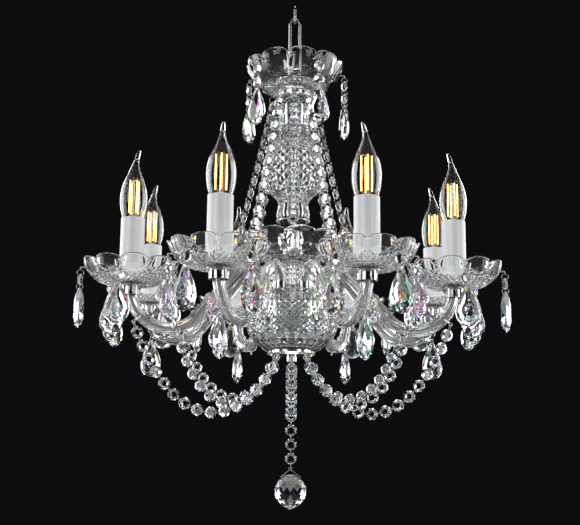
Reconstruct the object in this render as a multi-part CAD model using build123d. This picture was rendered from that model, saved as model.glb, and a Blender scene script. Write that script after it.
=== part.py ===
"""Eight-arm crystal chandelier, in millimetres, hanging below the origin.

The origin is the inner top of the hanging link, where a ceiling chain or hook carries it. +Z is up, +X is
to the right as the lamp is seen from its front, and the front is -Y.
"""

import math
import os

from build123d import *

# ---------------------------------------------------------------- driving dimensions
# Hanging link and bail
LINK_WIRE_R = 1.75
LINK_BEND_R = 6.5
LINK_STRAIGHT = 9.5
BAIL_WIRE_R = 2.0
BAIL_HALF_WIDTH = 6.65
BAIL_HEIGHT = 83.6
LOOSE_GAP = 0.15

# Top nut, which carries the bail's pivot
NUT_R = 13.0
NUT_HEIGHT = 8.0
LUG_WIDTH = 8.6
LUG_DEPTH = 14.0
PIVOT_ABOVE_FLOOR = 18.0
PIVOT_CLEARANCE = 0.05
PIVOT_PIN_END = 0.6

# Centre tube and the pieces stacked on it, from the top dish down
TUBE_R = 5.0
TUBE_WALL = 1.0
TUBE_CLEARANCE = 0.15
TUBE_INTO_NUT = 6.0
COLLAR_R = 21.7
COLLAR_HEIGHT = 10.0
VASE_HEIGHT = 54.0
BALL_BODY_HEIGHT = 114.0
BALL_BODY_R = 42.3
COLUMN_RING_HEIGHT = 4.0
COLUMN_RING_R = 22.5
LOWER_NECK_HEIGHT = 52.0
LOWER_NECK_R = 17.0
HUB_NECK_HEIGHT = 30.0
HUB_NECK_R = 22.0

# Scalloped glass dishes and drip pans
PETALS = 10
GLASS_WALL = 4.0
DISH_R = 66.5
DISH_HEIGHT = 38.7
DISH_FOOT_R = 21.0
PAN_R = 59.0
PAN_HEIGHT = 30.0
PAN_FOOT_R = 16.0
PETAL_DROP = 5.5
PETAL_NOTCH = 1.6
THUMB_CUT_R = 22.0
THUMB_CUT_DEPTH = 1.1
PIN_BELOW_RIM = 11.0
DISH_TURN = 9.4
PENDANTS_PER_DISH = 5

# Arms
ARMS = 8
FIRST_ARM_ANGLE = -112.5
ARM_R = 7.6
ARM_BORE_R = 3.0
WIRE_R = 2.6
SOCKET_CIRCLE_R = 38.0
CANDLE_CIRCLE_R = 214.0
ARM_HOOK_RISE = 9.0
ARM_HOOK_BEND_R = 21.0
ARM_BEND_R = 48.0
ARM_END_BELOW_HUB_TOP = 7.0

# Arm hub, bowl and bottom plate
HUB_R = 50.0
HUB_THICK = 8.0
HUB_BOSS_R = 14.0
SOCKET_HEIGHT = 9.0
SOCKET_WALL = 3.0
CEMENT_GAP = 0.15
BOWL_R = 62.0
BOWL_HEIGHT = 72.0
BOWL_WALL = 5.0
BOWL_SIDES = 24
BOWL_RIM_ABOVE_HUB = 5.0
PLATE_R = 26.0
PLATE_THICK = 6.0
PLATE_HOOK_R = 22.0
BOTTOM_NUT_R = 6.6
BOTTOM_NUT_HEIGHT = 8.0
BOTTOM_NUT_FLOOR = 3.0

# Candles
CUP_R = 11.5
CUP_BORE_R = 9.5
CUP_DEPTH = 10.0
CUP_PLATE = 2.0
CUP_FLANGE_R = 16.0
NIPPLE_R = 5.0
NIPPLE_BORE_R = 3.0
NIPPLE_HEIGHT = 12.0
SLEEVE_R = 14.75
SLEEVE_WALL = 1.2
SLEEVE_HEIGHT = 79.0
HOLDER_R = 12.5
HOLDER_BELOW_SLEEVE = 4.6
HOLDER_LIFT = 4.0
CAP_R = 6.9
CAP_LENGTH = 22.0
CAP_CLEARANCE = 0.3
BULB_R = 17.5
BULB_HEIGHT = 89.5
BULB_GLASS_WALL = 0.9
BULB_TIP_BEND = 6.0
FILAMENTS = 4
FILAMENT_R = 0.8
FILAMENT_CIRCLE_R = 7.0
FILAMENT_LOW = 7.0
FILAMENT_LENGTH = 41.0
STEM_R = 2.6
STEM_BELOW_FILAMENTS = 3.0
SUPPORT_R = 0.4
SUPPORT_ROD_R = 0.7

# Crystals
BEAD_SIZE = 14.0
BEAD_THICK = 7.0
BEAD_HOLE_R = 0.95
BEAD_HOLE_OUT = 5.2
LINK_R = 3.9
LINK_WIRE = 0.4
LINK_LEAN = 0.3
EYE_DROP = 2.0
DROP_LENGTH = 50.0
DROP_WIDTH = 31.0
DROP_THICK = 12.0
DROP_HOLE_DOWN = 3.6
DROP_HOLE_R = 1.05
EYE_R = 1.9
EYE_WIRE = 0.5
# From an eye's centre to the hole of a link that hangs in it
EYE_HANG = EYE_R - EYE_WIRE - LINK_WIRE - 2 * LOOSE_GAP + LINK_LEAN
PIN_R = 0.8
PIN_HOLE_R = 1.0
PIN_STAND_OFF = 5.4
BALL_R = 20.6
BALL_POINT = 22.5
BALL_HOLE_DOWN = 3.4
HANGER_DROP = 10.5
HANGER_EYE_R = 1.6
HANGER_CLEARANCE = 1.3

# Strands
COLUMN_STRANDS = 8
COLUMN_BEADS = 11
COLUMN_EYE_OUT = 5.6
COLUMN_SLACK = 0.0003
COLUMN_PIN_BELOW_RIM = 8.0
COLUMN_PIN_STAND_OFF = 8.4
SWAG_LEAD = 13.0
TASSEL_BEADS = 4
DROP_BEADS = 7
DROP_EYE_R = 2.4
DROP_EYE_BELOW_NUT = 2.8

# ---------------------------------------------------------------- levels, from the mount down
LINK_LOW_CENTRE = LINK_WIRE_R - LINK_STRAIGHT - 2 * LINK_BEND_R
BAIL_TOP_CENTRE = LINK_LOW_CENTRE + LINK_WIRE_R + LOOSE_GAP + BAIL_WIRE_R
PIVOT_Z = BAIL_TOP_CENTRE - BAIL_HEIGHT + BAIL_WIRE_R
DISH_FLOOR_Z = PIVOT_Z - PIVOT_ABOVE_FLOOR
TOP_DISH_Z = DISH_FLOOR_Z - GLASS_WALL
COLLAR_Z = TOP_DISH_Z - COLLAR_HEIGHT
VASE_Z = COLLAR_Z - VASE_HEIGHT
BALL_BODY_Z = VASE_Z - BALL_BODY_HEIGHT
COLUMN_RING_Z = BALL_BODY_Z - COLUMN_RING_HEIGHT
LOWER_NECK_Z = COLUMN_RING_Z - LOWER_NECK_HEIGHT
CENTRAL_DISH_Z = LOWER_NECK_Z - GLASS_WALL
HUB_NECK_Z = CENTRAL_DISH_Z - HUB_NECK_HEIGHT
HUB_TOP_Z = HUB_NECK_Z - SOCKET_HEIGHT
HUB_Z = HUB_TOP_Z - HUB_THICK
BOWL_Z = HUB_Z + BOWL_RIM_ABOVE_HUB - BOWL_HEIGHT
PLATE_Z = BOWL_Z - PLATE_THICK
BOTTOM_NUT_Z = PLATE_Z - BOTTOM_NUT_HEIGHT
ARM_END_Z = HUB_TOP_Z - ARM_END_BELOW_HUB_TOP
CUP_TOP_Z = ARM_END_Z + CEMENT_GAP + CUP_PLATE
PAN_FLOOR_Z = CUP_TOP_Z + GLASS_WALL
SLEEVE_TOP_Z = PAN_FLOOR_Z + SLEEVE_HEIGHT
BORE_R = TUBE_R + TUBE_CLEARANCE


def polar(angle, radius, z=0.0):
    """A point at an angle in degrees round the lamp's axis."""
    turn = math.radians(angle)
    return Vector(radius * math.cos(turn), radius * math.sin(turn), z)


def arm_angle(index):
    return FIRST_ARM_ANGLE + index * 360 / ARMS


def candle_place(index):
    """The frame of one candle: origin on its axis at the mount's level, +X away from the column."""
    angle = arm_angle(index)
    return Pos(polar(angle, CANDLE_CIRCLE_R)) * Rot(0, 0, angle)


# ---------------------------------------------------------------- basic shapes
def rod(radius, low, high):
    """A round bar along Z from one level to another."""
    return Pos(0, 0, low) * Cylinder(radius, high - low, align=(Align.CENTER, Align.CENTER, Align.MIN))


def pipe(outer, inner, low, high):
    return rod(outer, low, high) - rod(inner, low - 1, high + 1)


def eye(axis, major=EYE_R, wire=EYE_WIRE):
    """A round wire eye at the origin whose hole looks along the given axis."""
    return Plane(origin=(0, 0, 0), z_dir=axis) * Torus(major, wire)


def turned(points):
    """A solid of revolution round Z from a closed outline of (radius, z) points."""
    outline = make_face(Polyline(*points, close=True))
    return revolve(Plane.XZ * outline, axis=Axis.Z)


def faceted(rows):
    """A closed flat-faced solid from rows of points, bottom row first, all rows of one length.

    A row is (z, radius, sides, half_turns): a regular polygon, turned by half a side where half_turns is 1.
    """
    loops = []
    for z, radius, sides, half_turns in rows:
        loops.append([polar((k + half_turns / 2) * 360 / sides, radius, z) for k in range(sides)])
    return skinned(loops, [row[3] for row in rows])


def skinned(loops, turns=None):
    """A closed flat-faced solid whose walls join each loop of points to the next."""
    turns = turns or [0] * len(loops)
    faces = [flat_face(loops[0]), flat_face(loops[-1])]
    for low, high, low_turn, high_turn in zip(loops, loops[1:], turns, turns[1:]):
        count = len(low)
        for k in range(count):
            after = (k + 1) % count
            if low_turn == high_turn:
                faces.append(flat_face([low[k], low[after], high[after], high[k]]))
            elif low_turn < high_turn:
                faces.append(flat_face([low[k], low[after], high[k]]))
                faces.append(flat_face([high[k], low[after], high[after]]))
            else:
                faces.append(flat_face([low[k], high[after], high[k]]))
                faces.append(flat_face([low[k], low[after], high[after]]))
    return Solid(Shell(faces))


def flat_face(points):
    return Face(Wire.make_polygon(points, close=True))


def arc_centre(a, b, c):
    """Centre and radius of the circle through three points of a plane."""
    (ax, ay), (bx, by), (cx, cy) = a, b, c
    d = 2 * (ax * (by - cy) + bx * (cy - ay) + cx * (ay - by))
    a2, b2, c2 = ax * ax + ay * ay, bx * bx + by * by, cx * cx + cy * cy
    x = (a2 * (by - cy) + b2 * (cy - ay) + c2 * (ay - by)) / d
    y = (a2 * (cx - bx) + b2 * (ax - cx) + c2 * (bx - ax)) / d
    return x, y, math.hypot(ax - x, ay - y)


# ---------------------------------------------------------------- crystals and their links
def octagon_bead():
    """A cut octagon, face along Y, with a hole near its top and its bottom corner."""
    half = BEAD_SIZE / 2 / math.cos(math.pi / 8)
    rows = [
        (-BEAD_THICK / 2, half / 2, 8, 1),
        (-BEAD_THICK / 12, half, 8, 1),
        (BEAD_THICK / 12, half, 8, 1),
        (BEAD_THICK / 2, half / 2, 8, 1),
    ]
    stone = Rot(90, 0, 0) * faceted(rows)
    for side in (-1, 1):
        stone -= Pos(0, 0, side * BEAD_HOLE_OUT) * Rot(90, 0, 0) * Cylinder(BEAD_HOLE_R, BEAD_THICK * 2)
    return solid_of(stone)


def almond_drop():
    """A flat almond pendant, face along Y, its hole at the origin and its body below it."""
    half_outline = [(0.16, 0.0), (0.42, 0.16), (0.74, 0.36), (0.95, 0.56), (1.0, 0.70), (0.88, 0.84), (0.56, 0.95)]
    outline = [(0.0, 1.0)] + [(-x, z) for x, z in reversed(half_outline)] + half_outline
    middle = -0.6 * DROP_LENGTH
    loops = []
    for y, scale in ((-0.5, 0.4), (-0.34, 0.76), (-0.05, 1.0), (0.05, 1.0), (0.34, 0.76), (0.5, 0.4)):
        loop = []
        for x, z in outline:
            height = middle + (-z * DROP_LENGTH - middle) * scale
            loop.append(Vector(x * DROP_WIDTH / 2 * scale, y * DROP_THICK, height + DROP_HOLE_DOWN))
        loops.append(loop)
    stone = skinned(loops)
    stone -= Rot(90, 0, 0) * Cylinder(DROP_HOLE_R, DROP_THICK)
    return solid_of(stone)


def crystal_ball():
    """A faceted ball round the origin with a pointed foot and a small hole across its top."""
    rows = [(-BALL_POINT, 1.2, 12, 1)]
    for number, latitude in enumerate((-58, -34, -10, 14, 38, 60)):
        up = math.radians(latitude)
        rows.append((BALL_R * math.sin(up), BALL_R * math.cos(up), 12, number % 2))
    rows.append((BALL_R * 0.985, BALL_R * 0.22, 12, 0))
    ball = faceted(rows)
    ball -= Pos(0, 0, BALL_HOLE_Z) * Rot(0, 90, 0) * Cylinder(DROP_HOLE_R, BALL_R * 2)
    return solid_of(ball)


def solid_of(shape):
    return shape.solids()[0]


BEAD = octagon_bead()
ALMOND = almond_drop()
LINK_GAP = 2 * (LINK_R - LINK_LEAN)
BEAD_PITCH = 2 * BEAD_HOLE_OUT + LINK_GAP


def link_between(a, b, across):
    """A round wire link through two holes that look along one direction."""
    along = b - a
    return link_at((a + b) * 0.5, along, across, along.length / 2 + LINK_LEAN)


def link_at(middle, along, across, radius):
    return Plane(origin=middle, x_dir=along, z_dir=along.cross(across)) * Torus(radius, LINK_WIRE)


def placed_bead(centre, along, across):
    """The octagon with its holes along the strand and its face across it."""
    side = across.cross(along)
    return Plane(origin=centre, x_dir=side, z_dir=along) * BEAD


# ---------------------------------------------------------------- hanging link and bail
def hanging_link():
    upper = Vector(0, 0, LINK_WIRE_R - LINK_BEND_R)
    lower = upper - Vector(0, 0, LINK_STRAIGHT)
    link = half_ring(LINK_BEND_R, LINK_WIRE_R, upper, 1) + half_ring(LINK_BEND_R, LINK_WIRE_R, lower, -1)
    for side in (-1, 1):
        link += Pos(0, side * LINK_BEND_R, 0) * rod(LINK_WIRE_R, lower.Z, upper.Z)
    return link


def half_ring(bend_r, wire_r, centre, up):
    """Half a wire ring in the YZ plane, bulging up or down."""
    ring = Plane(origin=centre, z_dir=(1, 0, 0)) * Torus(bend_r, wire_r)
    keep = 2 * (bend_r + wire_r)
    return ring & Pos(centre) * Pos(0, 0, up * keep / 2) * Box(keep, keep, keep)


def hanging_bail():
    """A tall wire U whose two inturned ends turn in the top nut's lug."""
    centre = Vector(0, 0, BAIL_TOP_CENTRE - BAIL_HALF_WIDTH)
    bail = Rot(0, 0, 90) * half_ring(BAIL_HALF_WIDTH, BAIL_WIRE_R, centre, 1)
    for side in (-1, 1):
        bail += Pos(side * BAIL_HALF_WIDTH, 0, 0) * rod(BAIL_WIRE_R, PIVOT_Z, centre.Z)
        bail += Pos(side * BAIL_HALF_WIDTH, 0, PIVOT_Z) * Sphere(BAIL_WIRE_R)
        length = BAIL_HALF_WIDTH - PIVOT_PIN_END
        middle = side * (BAIL_HALF_WIDTH + PIVOT_PIN_END) / 2
        bail += Pos(middle, 0, PIVOT_Z) * Rot(0, 90, 0) * Cylinder(BAIL_WIRE_R, length)
    return bail


def top_nut():
    """A round nut on the top of the tube with a flat lug that the bail turns in."""
    nut = rod(NUT_R, DISH_FLOOR_Z, DISH_FLOOR_Z + NUT_HEIGHT)
    lug_height = PIVOT_ABOVE_FLOOR - NUT_HEIGHT
    nut += Pos(0, 0, PIVOT_Z - lug_height / 2) * Box(LUG_WIDTH, LUG_DEPTH, lug_height)
    nut += Pos(0, 0, PIVOT_Z) * Rot(0, 90, 0) * Cylinder(LUG_DEPTH / 2, LUG_WIDTH)
    nut -= Pos(0, 0, PIVOT_Z) * Rot(0, 90, 0) * Cylinder(BAIL_WIRE_R + PIVOT_CLEARANCE, LUG_WIDTH * 2)
    nut -= rod(BORE_R, DISH_FLOOR_Z - 1, DISH_FLOOR_Z + TUBE_INTO_NUT + TUBE_CLEARANCE)
    return nut


def centre_tube():
    low = BOTTOM_NUT_Z + BOTTOM_NUT_FLOOR + TUBE_CLEARANCE
    return pipe(TUBE_R, TUBE_R - TUBE_WALL, low, DISH_FLOOR_Z + TUBE_INTO_NUT)


# ---------------------------------------------------------------- scalloped dishes
def dish_curve(rim_r, height, foot_r):
    """Centre and radius of the dish wall's outer arc."""
    return arc_centre((foot_r, 0), (foot_r + 0.72 * (rim_r - foot_r), 0.3 * height), (rim_r, height))


def wall_radius(curve, z):
    x, y, radius = curve
    return x + math.sqrt(radius ** 2 - (z - y) ** 2)


def dish(rim_r, height, foot_r, bore_r, pin_angles, pin_drop=PIN_BELOW_RIM):
    """A glass dish of round petals with a thumb cut in each, its foot at z = 0 and a notch at angle 0."""
    curve = dish_curve(rim_r, height, foot_r)
    x, y, radius = curve
    inner = radius - GLASS_WALL
    floor_low = x - math.sqrt(inner ** 2 - (GLASS_WALL - y) ** 2)
    rim_in = x + math.sqrt(inner ** 2 - (height - y) ** 2)
    start = math.atan2(0 - y, foot_r - x)
    end = math.atan2(height - y, rim_r - x)
    middle = (start + end) / 2
    outer_mid = (x + radius * math.cos(middle), y + radius * math.sin(middle))
    in_start = math.atan2(GLASS_WALL - y, floor_low - x)
    in_end = math.atan2(height - y, rim_in - x)
    in_middle = (in_start + in_end) / 2
    inner_mid = (x + inner * math.cos(in_middle), y + inner * math.sin(in_middle))
    outline = [
        Line((bore_r, 0), (foot_r, 0)),
        ThreePointArc((foot_r, 0), outer_mid, (rim_r, height)),
        Line((rim_r, height), (rim_in, height)),
        ThreePointArc((rim_in, height), inner_mid, (floor_low, GLASS_WALL)),
        Line((floor_low, GLASS_WALL), (bore_r, GLASS_WALL)),
        Line((bore_r, GLASS_WALL), (bore_r, 0)),
    ]
    shell = revolve(Plane.XZ * make_face(outline), axis=Axis.Z)
    shell &= lobed_prism(rim_r, height)
    shell -= notch_cutters(rim_r, height)
    shell -= thumb_cutters(curve, height)
    pin_z = height - pin_drop
    for angle in pin_angles:
        hole = Rot(0, 90, 0) * Cylinder(PIN_HOLE_R, 4 * GLASS_WALL)
        shell -= Rot(0, 0, angle) * Pos(wall_radius(curve, pin_z), 0, pin_z) * hole
    return solid_of(shell)


def lobed_prism(rim_r, height):
    """The dish's outline from above: one arc for each petal, with its notches at multiples of a petal."""
    step = 360 / PETALS
    arcs = []
    for k in range(PETALS):
        ends = [polar(angle, rim_r - PETAL_NOTCH) for angle in (k * step, (k + 1) * step)]
        arcs.append(ThreePointArc(ends[0], polar((k + 0.5) * step, rim_r), ends[1]))
    return Pos(0, 0, -1) * extrude(make_face(arcs), height + 2)


def notch_cutters(rim_r, height):
    """What is cut from the rim between two petals: the gap between two rounded shoulders."""
    half = rim_r * math.sin(math.pi / PETALS)
    shoulder = (0.45 * half, height - 0.3 * PETAL_DROP)
    top = height + PETAL_DROP
    edges = []
    for side in (-1, 1):
        edges.append(ThreePointArc((0, height - PETAL_DROP), (side * shoulder[0], shoulder[1]), (side * half, height)))
        edges.append(Line((side * half, height), (side * half, top)))
    edges.append(Line((-half, top), (half, top)))
    gap = extrude(Plane.YZ * make_face(edges), rim_r * 0.5)
    return [Rot(0, 0, k * 360 / PETALS) * Pos(rim_r * 0.7, 0, 0) * gap for k in range(PETALS)]


def thumb_cutters(curve, height):
    x, y, radius = curve
    level = 0.52 * height
    slope = math.atan2(level - y, wall_radius(curve, level) - x)
    reach = radius + THUMB_CUT_R - THUMB_CUT_DEPTH
    ball = Pos(x + reach * math.cos(slope), 0, y + reach * math.sin(slope)) * Sphere(THUMB_CUT_R)
    return [Rot(0, 0, (k + 0.5) * 360 / PETALS) * ball for k in range(PETALS)]


def pin_angles():
    """Every second notch carries a pendant."""
    return [k * 360 / PENDANTS_PER_DISH for k in range(PENDANTS_PER_DISH)]


def pendant_pin(wall_r, stand_off=PIN_STAND_OFF):
    """A headed pin through the wall, along +X, with an eye at its outer end whose hole looks along X."""
    reach = wall_r + stand_off
    inside = wall_r - 2 * GLASS_WALL
    pin = Pos((inside + reach) / 2, 0, EYE_R) * Rot(0, 90, 0) * Cylinder(PIN_R, reach - inside)
    pin += Pos(inside - 0.5, 0, EYE_R) * Rot(0, 90, 0) * Cylinder(2 * PIN_R, 1.0)
    pin += Pos(reach, 0, 0) * eye((1, 0, 0))
    return pin


def pendant(beads):
    """Links, octagons and an almond under an eye at the origin, the faces along X."""
    across = Vector(1, 0, 0)
    down = Vector(0, 0, -1)
    top = Vector(0, 0, -EYE_R + EYE_WIRE + LINK_WIRE + LOOSE_GAP)
    pieces = [link_at(top + down * LINK_R, down, across, LINK_R)]
    hole = top + down * (2 * LINK_R - LINK_LEAN)
    for _ in range(beads):
        pieces.append(placed_bead(hole + down * BEAD_HOLE_OUT, down, across))
        hole = hole + down * (2 * BEAD_HOLE_OUT)
        pieces.append(link_between(hole, hole + down * LINK_GAP, across))
        hole = hole + down * LINK_GAP
    pieces.append(Pos(hole) * Rot(0, 0, 90) * ALMOND)
    return pieces


# ---------------------------------------------------------------- column
def column_collars():
    """The beaded ring under the top dish, with an eye for each strand, and the plain ring lower down."""
    collar = turned([
        (BORE_R, COLLAR_Z), (COLLAR_R - 2, COLLAR_Z), (COLLAR_R, COLLAR_Z + 2),
        (COLLAR_R, TOP_DISH_Z - 2), (COLLAR_R - 2, TOP_DISH_Z), (BORE_R, TOP_DISH_Z),
    ])
    for k in range(COLUMN_STRANDS):
        angle = k * 360 / COLUMN_STRANDS
        lug = Pos(COLLAR_R, 0, COLLAR_EYE_Z) * Rot(0, 90, 0) * Cylinder(PIN_R, 2 * COLUMN_EYE_OUT)
        lug += Pos(COLLAR_R + COLUMN_EYE_OUT, 0, COLLAR_EYE_Z - EYE_R) * eye((1, 0, 0))
        collar += Rot(0, 0, angle) * lug
    ring = turned([
        (BORE_R, COLUMN_RING_Z), (COLUMN_RING_R - 1, COLUMN_RING_Z), (COLUMN_RING_R, BALL_BODY_Z - 2),
        (COLUMN_RING_R - 1, BALL_BODY_Z), (BORE_R, BALL_BODY_Z),
    ])
    return [solid_of(collar), solid_of(ring)]


COLLAR_EYE_Z = COLLAR_Z + COLLAR_HEIGHT / 2


def bored(shape, low, high):
    return solid_of(shape - rod(BORE_R, low - 1, high + 1))


def vase_neck():
    """The fluted glass neck under the collar."""
    profile = ((0.0, 21.0), (0.14, 20.2), (0.38, 20.4), (0.62, 21.0), (0.86, 22.2), (1.0, 21.4))
    rows = [(VASE_Z + share * VASE_HEIGHT, radius, 12, 1) for share, radius in profile]
    return bored(faceted(rows), VASE_Z, COLLAR_Z)


def ball_body():
    """The big diamond-cut glass ball on its flared foot."""
    foot_top = 0.28 * BALL_BODY_HEIGHT
    foot = turned([
        (BORE_R, BALL_BODY_Z), (20.4, BALL_BODY_Z), (22.2, BALL_BODY_Z + 6), (20.7, BALL_BODY_Z + 21),
        (26.0, BALL_BODY_Z + foot_top + 1), (BORE_R, BALL_BODY_Z + foot_top + 1),
    ])
    profile = (
        (0.0, 0.69), (0.14, 0.93), (0.31, 1.0), (0.48, 0.975), (0.63, 0.915), (0.78, 0.81), (0.9, 0.67), (1.0, 0.5),
    )
    rows = []
    for number, (share, radius) in enumerate(profile):
        z = BALL_BODY_Z + foot_top + share * (BALL_BODY_HEIGHT - foot_top)
        rows.append((z, radius * BALL_BODY_R, 16, number % 2))
    return bored(faceted(rows) + foot, BALL_BODY_Z, VASE_Z)


def lower_neck():
    """The glass spacer that stands in the central dish."""
    profile = ((0.0, 0.95), (0.2, 0.75), (0.5, 1.0), (0.8, 0.75), (1.0, 1.05))
    rows = [(LOWER_NECK_Z + share * LOWER_NECK_HEIGHT, size * LOWER_NECK_R, 12, 1) for share, size in profile]
    return bored(faceted(rows), LOWER_NECK_Z, COLUMN_RING_Z)


def hub_neck():
    """The small cut ball between the central dish and the hub."""
    rows = []
    for number, (share, size) in enumerate(((0.0, 0.62), (0.25, 0.92), (0.5, 1.0), (0.75, 0.92), (1.0, 0.7))):
        rows.append((HUB_NECK_Z + share * HUB_NECK_HEIGHT, size * HUB_NECK_R, 14, number % 2))
    return bored(faceted(rows), HUB_NECK_Z, CENTRAL_DISH_Z)


def arm_hub():
    """The metal disc on the tube with a socket for each arm."""
    hub = rod(HUB_R, HUB_Z, HUB_TOP_Z)
    hub = fillet(hub.edges().filter_by(GeomType.CIRCLE), 2.0)
    hub += rod(HUB_BOSS_R, HUB_TOP_Z - 1, HUB_NECK_Z)
    for k in range(ARMS):
        socket = rod(ARM_R + CEMENT_GAP + SOCKET_WALL, HUB_TOP_Z - 1, HUB_NECK_Z)
        hub += Pos(polar(arm_angle(k), SOCKET_CIRCLE_R)) * socket
    for k in range(ARMS):
        hub -= Pos(polar(arm_angle(k), SOCKET_CIRCLE_R)) * rod(ARM_R + CEMENT_GAP, HUB_TOP_Z, HUB_NECK_Z + 1)
    return bored(hub, HUB_Z, HUB_NECK_Z)


def bottom_bowl():
    """The cut glass bowl, closed below, with upright flats above and diamonds towards its foot."""
    profile = ((0.0, 0.42), (0.03, 0.55), (0.11, 0.73), (0.24, 0.87), (0.4, 0.96), (0.7, 1.0), (1.0, 0.97))
    rows = []
    for number, (share, size) in enumerate(profile):
        turn = 0 if number >= 4 else number % 2
        rows.append((BOWL_Z + share * BOWL_HEIGHT, size * BOWL_R, BOWL_SIDES, turn))
    bowl = faceted(rows)
    inside = [(0, BOWL_Z + BOWL_WALL)]
    for share, size in profile[1:]:
        inside.append((size * BOWL_R - 1.25 * BOWL_WALL, max(share * BOWL_HEIGHT, BOWL_WALL) + BOWL_Z + 1))
    inside.append((0, BOWL_Z + BOWL_HEIGHT + 1))
    return bored(bowl - turned(inside), BOWL_Z, BOWL_Z + BOWL_HEIGHT)


def bottom_plate():
    """The plate and the nut that hold the bowl up, with an eye for each swag and tassel strand."""
    plate = turned([
        (BORE_R, PLATE_Z), (PLATE_R - 3, PLATE_Z), (PLATE_R, PLATE_Z + 3), (PLATE_R, BOWL_Z), (BORE_R, BOWL_Z),
    ])
    for swag in SWAGS:
        angle = swag["plate_angle"]
        lug = rod(PIN_R, -1.0 - EYE_R, 1.0) + Pos(0, 0, -EYE_DROP - EYE_R) * eye((0, 1, 0))
        plate += Pos(polar(angle, PLATE_HOOK_R, PLATE_Z)) * Rot(0, 0, swag_heading(swag)) * lug
    for side in (-1, 1):
        lug = rod(PIN_R, -1.0 - EYE_R, 1.0) + Pos(0, 0, -EYE_DROP - EYE_R) * eye((0, 1, 0))
        plate += Pos(0, side * TASSEL_OUT, PLATE_Z) * lug
    nut = rod(BOTTOM_NUT_R, BOTTOM_NUT_Z, PLATE_Z) - rod(BORE_R, BOTTOM_NUT_Z + BOTTOM_NUT_FLOOR, PLATE_Z + 1)
    nut += Pos(0, 0, DROP_EYE_Z) * eye((0, 1, 0), wire=2 * EYE_WIRE, major=DROP_EYE_R)
    return [solid_of(plate), solid_of(nut)]


TASSEL_OUT = BOTTOM_NUT_R + LINK_R + LINK_WIRE + 2 * LOOSE_GAP
DROP_EYE_Z = BOTTOM_NUT_Z - DROP_EYE_BELOW_NUT


# ---------------------------------------------------------------- arms
def arm_path():
    """One arm's middle line in the XZ plane: up out of the hub, over, down and up to the candle."""
    over = (SOCKET_CIRCLE_R + ARM_HOOK_BEND_R, HUB_TOP_Z + ARM_HOOK_RISE)
    under = (CANDLE_CIRCLE_R - ARM_BEND_R, ARM_END_Z)
    dx, dz = under[0] - over[0], under[1] - over[1]
    fall = math.asin((ARM_HOOK_BEND_R + ARM_BEND_R) / math.hypot(dx, dz)) - math.atan2(dz, dx)
    start = (SOCKET_CIRCLE_R, HUB_TOP_Z + CEMENT_GAP)
    first = (SOCKET_CIRCLE_R, over[1])

    def on_over(turn):
        return (over[0] + ARM_HOOK_BEND_R * math.sin(turn), over[1] + ARM_HOOK_BEND_R * math.cos(turn))

    def on_under(turn):
        return (under[0] + ARM_BEND_R * math.sin(turn), under[1] - ARM_BEND_R * math.cos(turn))

    edges = [
        Line(start, first),
        ThreePointArc(first, on_over((fall - math.pi / 2) / 2), on_over(fall)),
        Line(on_over(fall), on_under(-fall)),
        ThreePointArc(on_under(-fall), on_under((math.pi / 2 - fall) / 2), on_under(math.pi / 2)),
    ]
    return Plane.XZ * Wire([edge for part in edges for edge in part.edges()])


def swept_arm(section):
    start = Plane(origin=(SOCKET_CIRCLE_R, 0, HUB_TOP_Z + CEMENT_GAP), z_dir=(0, 0, 1))
    return solid_of(sweep(start * section, path=arm_path()))


def on_bend(turn, out=0.0):
    """A point of the arm's lower bend, a turn in degrees past its lowest, moved outwards by out."""
    radius = ARM_BEND_R + out
    back = math.radians(turn)
    return Vector(CANDLE_CIRCLE_R - ARM_BEND_R + radius * math.sin(back), 0, ARM_END_Z - radius * math.cos(back))


def arm_clip(turn):
    """A wire ring round the arm's bend with an eye on its outer side."""
    wire = 2 * EYE_WIRE
    ring_r = ARM_R + CEMENT_GAP + wire
    along = on_bend(turn + 1) - on_bend(turn - 1)
    clip = Plane(origin=on_bend(turn), z_dir=along) * Torus(ring_r, wire)
    return clip + Pos(on_bend(turn, CLIP_EYE_OUT)) * eye((0, 1, 0))


CLIP_EYE_OUT = ARM_R + CEMENT_GAP + 4 * EYE_WIRE + EYE_R
INNER_CLIP_TURN = -15.0
OUTER_CLIP_TURN = 45.0


def candle_cup():
    """The metal cup cemented on the arm's end, with a flange for the pan and a nipple for the lamp holder."""
    cup = rod(CUP_R, CUP_TOP_Z - CUP_PLATE - CUP_DEPTH, CUP_TOP_Z)
    cup += rod(CUP_FLANGE_R, CUP_TOP_Z - CUP_PLATE, CUP_TOP_Z)
    cup += rod(NIPPLE_R, CUP_TOP_Z - 1, CUP_TOP_Z + NIPPLE_HEIGHT)
    cup -= rod(CUP_BORE_R, CUP_TOP_Z - CUP_PLATE - CUP_DEPTH - 1, CUP_TOP_Z - CUP_PLATE)
    cup -= rod(NIPPLE_BORE_R, CUP_TOP_Z - CUP_PLATE - 1, CUP_TOP_Z + NIPPLE_HEIGHT + 1)
    return solid_of(cup)


def arm_fittings():
    pieces = []
    for k in range(ARMS):
        pieces.append(candle_place(k) * candle_cup())
        pieces.append(Rot(0, 0, arm_angle(k)) * solid_of(arm_clip(INNER_CLIP_TURN)))
        pieces.append(Rot(0, 0, arm_angle(k)) * solid_of(arm_clip(OUTER_CLIP_TURN)))
    return pieces


# ---------------------------------------------------------------- candles
def candle_sleeve():
    return pipe(SLEEVE_R, SLEEVE_R - SLEEVE_WALL, PAN_FLOOR_Z, SLEEVE_TOP_Z)


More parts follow.
